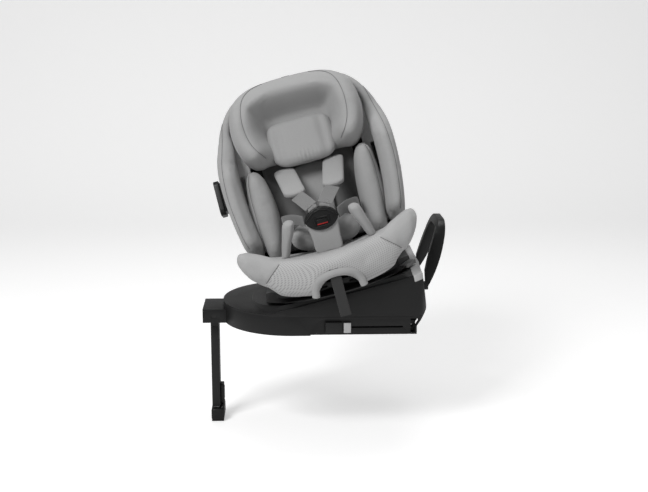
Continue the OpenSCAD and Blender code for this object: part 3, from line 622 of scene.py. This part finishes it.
WING_SEAM = [(181, 402), (190, 370), (203, 300), (209, 219), (209, 153), (198, 65), (190, 36)]
for side, sign in (("left", 1), ("right", -1)):
    wing = surface(f"wing_{side}_pad", back_place(wing_grid() * (sign, 1, 1)), CLOTH)
    plump(wing, 4.0)
    pad(wing, "seat", [f"wing_{side}"])
    sew(wing, [(sign * x, z) for x, z in WING_SEAM], back_place, "seat")

# ---- Torso pads ----
# Two leaf-shaped pads beside the child's body, thicker at the bottom and pointed at the top.

def torso_grid():
    """Level sections of a torso pad, kept inside the wing beside it."""
    z = bunched(-8, 229, 90)
    turn = np.linspace(0, 2 * np.pi, 72, endpoint=False)[None, :]
    inner = 104 + 10 * ((z - 95) / 75) ** 2 * np.where(z < 95, 1, 0.6)
    outer = np.minimum(167 - 7 * (np.maximum(z - 120, 0) / 100) ** 2, wing_half(z) - 43.5)
    close = dome(z, -8.5, 229.5, 34)
    front = -116 + 30 * (1 - close) + 14 * ramp(40 - z, 0, 48)
    x, y = oval(turn, ((outer - inner) / 2 * (0.25 + 0.75 * close))[:, None],
        ((-14 - front) / 2 * (0.5 + 0.5 * close))[:, None], 2.2)
    return points_at(x + ((inner + outer) / 2)[:, None], y + ((front - 14) / 2)[:, None], z[:, None])


TORSO_SEAM = [(150, 218), (156, 190), (158, 150), (157, 110), (156, 70), (154, 30), (152, 8)]
for side, sign in (("left", 1), ("right", -1)):
    torso = surface(f"torso_{side}_pad", back_place(torso_grid() * (sign, 1, 1)), CLOTH)
    plump(torso, 4.0)
    pad(torso, "seat", [f"torso_pad_{side}"])
    sew(torso, [(sign * x, z) for x, z in TORSO_SEAM], back_place, "seat")

# ---- Forms over an outline ----

def padded_form(outline, middle, front, back, round_over, rays=160, steps=34):
    """Closed pad over an outline of (across, up) points. Rays run from the middle to the outline
    over the front and come back over the rear. front and back give a depth for (across, up), and
    both faces fall to the rim, half way between, as a quarter oval over round_over millimetres."""
    edge = spline(outline, rays, closed=True)
    share = np.sin(np.linspace(0, 1, steps) * np.pi / 2)
    share[0] = 0.004
    across = middle[0] + share[:, None] * (edge[None, :, 0] - middle[0])
    up = middle[1] + share[:, None] * (edge[None, :, 1] - middle[1])
    dense = spline(outline, rays * 3, closed=True)
    inside = np.min(np.hypot(across[..., None] - dense[:, 0], up[..., None] - dense[:, 1]), -1)
    inside[-1] = 0
    lift = 1 - np.clip(1 - inside / round_over, 0, 1) ** 2.3
    lift = np.clip(lift, 0, 1) ** (1 / 2.3)
    near, far = front(across, up), back(across, up)
    rim = (near[-1] + far[-1]) / 2
    near = rim + (near - rim) * lift
    far = rim + (far - rim) * lift
    faces = [np.stack([across, near, up], -1), np.stack([across, far, up], -1)[::-1][1:]]
    return np.concatenate(faces)


def flat(depth):
    """The same depth everywhere."""
    return lambda across, up: np.full(across.shape, float(depth))


def mirrored(half):
    """A closed outline from the half of it that runs from the middle's top to its bottom."""
    return half + [(-across, up) for across, up in half[-2:0:-1]]


# ---- Back cover and insert ----
# Grey cloth lines the shell behind the child, darkened as painted shade from the pads around it, and a narrow
# cushion lies on it.

COVER_OUTLINE = [(-119, 30), (0, 28), (119, 30), (120, 120), (120, 300), (118, 425), (0, 428), (-118, 425),
    (-120, 300), (-120, 120)]
INSERT_OUTLINE = [(-36, 226), (0, 229), (36, 226), (42, 216), (44, 170), (41, 120), (34, 70), (24, 46),
    (0, 42), (-24, 46), (-34, 70), (-41, 120), (-44, 170), (-42, 216)]


def cover_front(across, up):
    """Nearly flat, and turned forward at the sides."""
    return -1 - 9 * (np.abs(across) / 120) ** 6


cover_form = padded_form(COVER_OUTLINE, (0, 220), cover_front, flat(24), 14)
# The cover's darker knit is painted shade, not a darker cloth.
cover = surface("back_cover_pad", back_place(cover_form), CLOTH_SHADED)
pad(cover, "seat", ["back_cover"])

insert_form = padded_form(INSERT_OUTLINE, (0, 150), flat(-25), flat(-2), 16)
insert = surface("insert_back_pad", back_place(insert_form), CLOTH)
plump(insert, 2.5, 4.5)
pad(insert, "seat", ["insert_back"])

# ---- Headrest ----
# A deep hollow cushion with a lobe at each side of the head, and a pillow in its lower half.

HEAD_OUTLINE = mirrored([(0, 444), (52, 443), (95, 437), (130, 420), (153, 394), (163, 355), (165, 322),
    (160, 288), (148, 256), (131, 237), (113, 231), (95, 234), (68, 236), (0, 236)])
HEAD_SEAM = [(60, 440), (90, 430), (111, 413), (124, 387), (130, 350), (129, 315), (122, 285), (110, 262),
    (96, 248)]
PILLOW_OUTLINE = mirrored([(0, 336), (45, 336), (70, 331), (81, 314), (85, 280), (81, 248), (70, 230),
    (45, 221), (0, 219)])


def head_front(across, up):
    """Crest round the edge that falls from the seam to the floor of the hollow; open below."""
    dense = spline(HEAD_OUTLINE, 500, closed=True)
    dense = dense[dense[:, 1] > 256]
    inside = np.min(np.hypot(across[..., None] - dense[:, 0], up[..., None] - dense[:, 1]), -1)
    crest = -150 + 42 * (np.maximum(up - 330, 0) / 120) ** 1.6
    crest = crest + 10 * ramp(250 - up, 0, 20)
    fall = 0.35 * ramp(inside, 20, 96) + 0.65 * ramp(inside, 38, 90)
    return crest + (-54 - crest) * fall


head_form = padded_form(HEAD_OUTLINE, (0, 330), head_front, flat(-11), 30, rays=220, steps=60)
head = surface("headrest_cushion", back_place(head_form), CLOTH)
plump(head, 4.0, 5.5)
pad(head, "headrest", ["headrest_pad"])
for sign in (1, -1):
    sew(head, [(sign * x, z) for x, z in HEAD_SEAM], back_place, "headrest")


def pillow_front(across, up):
    """Crowned face with a soft upright fold near each side and short gathers at the bottom."""
    crown = -92 + 7 * (across / 84) ** 4 + 5 * ((up - 278) / 58) ** 4
    fold = 4.5 * np.exp(-((np.abs(across) - 56) / 11) ** 2)
    gather = 1.6 * np.sin(across * 0.62) * np.exp(-((across - 4) / 26) ** 2) * ramp(258 - up, 0, 26)
    return crown + fold + gather


pillow_form = padded_form(PILLOW_OUTLINE, (0, 278), pillow_front, flat(-54), 20, rays=200, steps=50)
pillow = surface("headrest_pillow_pad", back_place(pillow_form), CLOTH)
pad(pillow, "headrest", ["headrest_pillow"])

# ---- Seat cushion ----
# One padded form from thigh to thigh: it is low in the middle, and its sides rise to two tips at
# the front. Dotted mesh lies between the two seams, and an arch of piping frames the adjuster.

TIP = 212


def crest_height(x):
    """Top edge across the seat: a shallow square in the middle, then a straight rise to the tips."""
    x = np.abs(x)
    return np.where(x < 120, 133 + 12 * (x / 120) ** 2, 145 + 0.55 * (x - 120))


def hem_height(x):
    """Bottom edge: an arch in the middle, a flat run, and a rise to the tips."""
    x = np.abs(x)
    arch = 87 - 35 * (x / 50) ** 3
    flat_run = 52 + 14 * (np.maximum(x - 50, 0) / 85) ** 2
    rise = np.where(x < 173, 66 + (x - 135) * 0.87, 99 + (x - 173) * 1.2)
    return np.where(x < 50, arch, np.where(x < 135, flat_run, rise))


def cushion_front(x):
    """The front bows forward, with a bulge in the middle over the adjuster's housing."""
    bow = 20 * (x / 130) ** 2 * np.where(np.abs(x) < 160, 1, (160 / np.maximum(np.abs(x), 1)) ** 2)
    return -223 + bow - 13 * np.exp(-(x / 62) ** 4)


def cushion_grid():
    """Side views of the cushion across the seat: an oval front edge, the underside, and the top."""
    x = bunched(-TIP, TIP, 170)[:, None]
    wide = np.abs(x)
    top, low, front = crest_height(x), hem_height(x), cushion_front(x)
    centre, close = (top + low) / 2, dome(x, -TIP - 0.2, TIP + 0.2, 24)
    top, low = centre + (top - centre) * close, centre + (low - centre) * close
    front = front + 50 * (1 - close)
    end = 64 - 126 * ramp(wide, 112, 150) - 50 * (1 - close)
    turn = np.linspace(np.pi / 2, 3 * np.pi / 2, 40)[None, :]
    half = np.maximum((top - low) / 2, 2)
    y, z = oval(turn, 34, half, 2.5)
    nose = points_at(x, front + 34 + y, low + half + z)
    share = np.linspace(0, 1, 30)[None, :]
    deep = -185 + share * (end - 6 + 185)
    floor = np.where(wide > 141, 104.5, np.maximum(470 - np.sqrt(413.0 ** 2 - deep ** 2), 60))
    floor = np.minimum(floor, top - 6) * (wide < 150) + (low + 2) * (wide >= 150)
    under = points_at(x, deep, floor)
    back = end - share * (end + 180)
    slope = 0.15 * (back + 190) - 2 * np.sin(np.radians(0.8) * (back + 190))
    height = top - slope - 22 * (1 - ramp(end - back, 0, 30)) * ramp(wide, 110, 150)
    height = height - 12 * (np.maximum(back - 50, 0) / 14) ** 2
    over = points_at(x, back, np.maximum(height, floor[:, ::-1] + 2))
    return np.concatenate([nose, under, over], 1)


def mesh_panel(across, back, up):
    """Between the seams, which lean outwards as they go down the front."""
    return np.abs(across) < 120 + np.clip(145 - up, 0, 60) * 1.1


cushion = surface("seat_cushion_pad", seat_place(cushion_grid()), CLOTH_PALE)
plump(cushion, 3.0, 5.0)
pad(cushion, "seat", ["seat_cushion", "bolster_left", "bolster_right"])
two_tone(cushion, CLOTH_MESH, mesh_panel)
CUSHION_SEAM = [(120, 143), (134, 132), (149, 119), (161, 106)]
for sign in (1, -1):
    sew(cushion, [(sign * x, z) for x, z in CUSHION_SEAM], seat_place, "seat")

ARCH = [(-57, 53), (-52, 75), (-36, 93), (0, 100), (36, 93), (52, 75), (57, 53)]
arch_across, arch_up = spline(ARCH, 60).T
arch_path = points_at(arch_across, cushion_front(arch_across) + 4, arch_up)
piping = tube("arch_piping", seat_place(arch_path), 9.0, CLOTH, 20)
pad(piping, "seat", [])

# ---- Body insert ----
# A low round cushion on the seat, with a flap at each hip and a flat pad behind the buckle.


def pebble(middle, halves, plan=2.4, side=2.4, rows=40, columns=64):
    """Superellipsoid: an oval plan whose size follows an oval from its bottom to its top."""
    rise = np.linspace(-np.pi / 2 + 0.02, np.pi / 2 - 0.02, rows)
    size, height = oval(rise, 1.0, halves[2], side)
    x, y = oval(np.linspace(0, 2 * np.pi, columns, endpoint=False), halves[0], halves[1], plan)
    size, height = size[:, None], height[:, None]
    return points_at(middle[0] + size * x, middle[1] + size * y, middle[2] + height)


insert_seat = surface("insert_seat_pad", seat_place(pebble((0, -10, 152), (85, 49, 36), 3.0)), CLOTH)
plump(insert_seat, 2.0)
pad(insert_seat, "seat", ["insert_seat"])

FLAP = [(67, 212), (80, 219), (94, 211), (104, 180), (115, 140), (112, 133), (98, 133), (84, 165), (72, 190)]
flap_form = padded_form(FLAP, (91, 178), flat(-119), flat(-74), 13, rays=100, steps=20)
for side, sign in (("left", 1), ("right", -1)):
    flap = surface(f"hip_flap_{side}", seat_place(flap_form * (sign, 1, 1)), CLOTH)
    pad(flap, "seat", ["hip_flaps"] if sign > 0 else [])

CROTCH = [(-30, 126), (0, 124), (30, 126), (34, 160), (37, 198), (32, 204), (0, 205), (-32, 204), (-37, 198),
    (-34, 160)]
crotch_form = padded_form(CROTCH, (0, 164), flat(-109.5), flat(-97), 6, rays=100, steps=20)
crotch = surface("crotch_pad_cover", seat_place(crotch_form), CLOTH)
pad(crotch, "seat", ["crotch_pad"])

# ---- Harness ----
# Webbing runs from under the shoulder pads to the buckle and from the buckle to the hips. The
# adjuster's strap comes out at the seat's front and hangs down over the base.


def ribbon(name, path, across, width, material, stands_for, body, thick=1.2):
    """Flat webbing of a width and half thickness in millimetres along seat-frame points. It rides on
    body, or is left for a blend if that is None."""
    line = spline(path, 40)
    along = np.gradient(line, axis=0)
    wide = np.broadcast_to(np.asarray(across, float) / np.linalg.norm(across), line.shape)
    out = np.cross(along, wide)
    out /= np.linalg.norm(out, axis=1, keepdims=True)
    x, y = oval(np.linspace(0, 2 * np.pi, 24, endpoint=False), width / 2, thick, 6)
    grid = line[:, None] + x[None, :, None] * wide[:, None] + y[None, :, None] * out[:, None]
    made = surface(name, seat_place(grid), material)
    if body:
        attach(made, body)
    if stands_for:
        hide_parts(stands_for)
    return made


CHEST = np.array([47.0, -4.0, 258.0])
SHOULDER = np.array([65.0, 112.0, 308.0])
for side, sign in (("left", 1), ("right", -1)):
    shoulder_line = [(sign * 45, -6, 256), (sign * 32, -58, 250), (sign * 17, -106, 239)]
    webbing = ribbon(f"shoulder_webbing_{side}", shoulder_line, (0.9, sign * -0.1, sign * -0.42), 34, WEB,
        "harness_webbing" if sign > 0 else None, None)
    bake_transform(webbing, "seat", "headrest", seat_place(shoulder_line[2]), seat_place(shoulder_line[0]))
    lap_line = [(sign * 42, -103, 208), (sign * 66, -62, 211), (sign * 92, -22, 206), (sign * 98, 28, 190)]
    ribbon(f"lap_webbing_{side}", lap_line, (0, 0, 1), 26, WEB, None, "seat")
ribbon("crotch_webbing", [(0, -104, 123), (0, -104, 150), (0, -104, 178)], (1, 0, 0), 38, WEB,
    "crotch_strap", "seat")
adjuster_line = [(-2, -232.4, 109.5), (-2, -232.4, 70), (-2, -232.4, -4)]
ribbon("adjuster_webbing", adjuster_line, (1, 0, 0), 25, WEB_DARK,
    "adjuster_strap", "seat")


def shoulder_grid(sign):
    """Sleeve round the webbing, from the shoulder to the chest, that rounds off at both ends."""
    share = bunched(0, 1, 50)
    start, stop = SHOULDER * (sign, 1, 1), CHEST * (sign, 1, 1)
    close = dome(share, -0.01, 1.01, 0.12)[:, None, None]
    up = np.cross(stop - start, (1, 0, 0))
    up /= np.linalg.norm(up)
    x, y = oval(np.linspace(0, 2 * np.pi, 48, endpoint=False), 30, 9, 3.4)
    middle = start + share[:, None] * (stop - start)
    return middle[:, None] + close * x[None, :, None] * np.array([0.9, 0, 0]) + close * y[None, :, None] * up


for side, sign in (("left", 1), ("right", -1)):
    sleeve = surface(f"shoulder_pad_{side}", seat_place(shoulder_grid(sign)), CLOTH)
    pad(sleeve, "headrest", ["shoulder_pads"] if sign > 0 else [])

eased("buckle_body", BLACK, 3.0)
RED = plastic("red button", (0.35, 0.012, 0.012, 1), 0.3, relief=0.05)
RED_TOP = 196  # the button is red below this height, and black above it
button = eased("buckle_button", RED, 1.0)
score(button, (0, 0, RED_TOP), (0, 0, 1))
two_tone(button, BLACK, lambda across, back, up: up > RED_TOP)
BUCKLE_FACE = -115.4
for name, corners in {
    "buckle_frame": [(-17, 189), (17, 189), (18, 211), (-18, 211), (-17, 189)],
    "buckle_roof": [(-38, 207), (-18, 224), (0, 229), (18, 224), (38, 207)],
}.items():
    across, up = np.array(corners, float).T
    rail = tube(name, seat_place(points_at(across, BUCKLE_FACE, up)), 1.7, BLACK)
    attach(rail, "seat")
paint("buckle_tongues", STEEL)

# ---- Camera, light and floor ----

scene = bpy.context.scene
camera = bpy.data.objects.new("camera", bpy.data.cameras.new("camera"))
camera.data.sensor_width = 36
camera.data.lens = 61.1
camera.location = (-0.0951, -2.6518, 0.7429)
camera.rotation_euler = (np.radians(78), 0, np.radians(-2))
scene.collection.objects.link(camera)
scene.camera = camera

scene.view_settings.view_transform = "Standard"
world = bpy.data.worlds.new("studio")
world.use_nodes = True
scene.world = world
sky = world.node_tree
back = sky.nodes["Background"]
back.inputs["Color"].default_value = (1, 1, 1, 1)
back.inputs["Strength"].default_value = 0.22
seen = shader(sky, "LightPath")
white = shader(sky, "Background", {"Color": (1, 1, 1, 1), "Strength": 1.0})
mix = shader(sky, "MixShader", {0: seen.outputs["Is Camera Ray"], 1: back.outputs[0], 2: white.outputs[0]})
sky.links.new(mix.outputs[0], sky.nodes["World Output"].inputs["Surface"])


def lamp(name, place, aim, size, watts):
    made = bpy.data.objects.new(name, bpy.data.lights.new(name, "AREA"))
    made.data.size = size
    made.data.energy = watts
    made.location = place
    made.rotation_euler = (Vector(aim) - Vector(place)).to_track_quat("-Z", "Y").to_euler()
    scene.collection.objects.link(made)


lamp("key", (-1.6, -1.9, 2.4), (0, 0, 0.3), 1.2, 74)
lamp("fill", (2.2, -1.8, 1.0), (0, 0, 0.3), 1.8, 10)
lamp("top", (0.1, 0.7, 2.6), (0, 0, 0.2), 1.6, 24)

FLOOR = -0.262  # just below the leg's foot
depth = np.linspace(-8, 6, 60)
height = FLOOR + 5 * ramp(depth, 2.5, 6) ** 1.5
sides = np.array([-9.0, 9.0])
sweep = surface("floor", points_at(sides[None, :], depth[:, None], height[:, None]),
    blank_material("pale floor")[0], ring=False, ends=False)
paper = sweep.data.materials[0].node_tree.nodes["Principled BSDF"]
paper.inputs["Base Color"].default_value = (0.86, 0.86, 0.86, 1)
paper.inputs["Roughness"].default_value = 0.9
paper.inputs["Emission Color"].default_value = (1, 1, 1, 1)
glow = maths(paper.id_data, "MULTIPLY", shader(paper.id_data, "LightPath").outputs["Is Camera Ray"], 0.42)
paper.id_data.links.new(glow, paper.inputs["Emission Strength"])
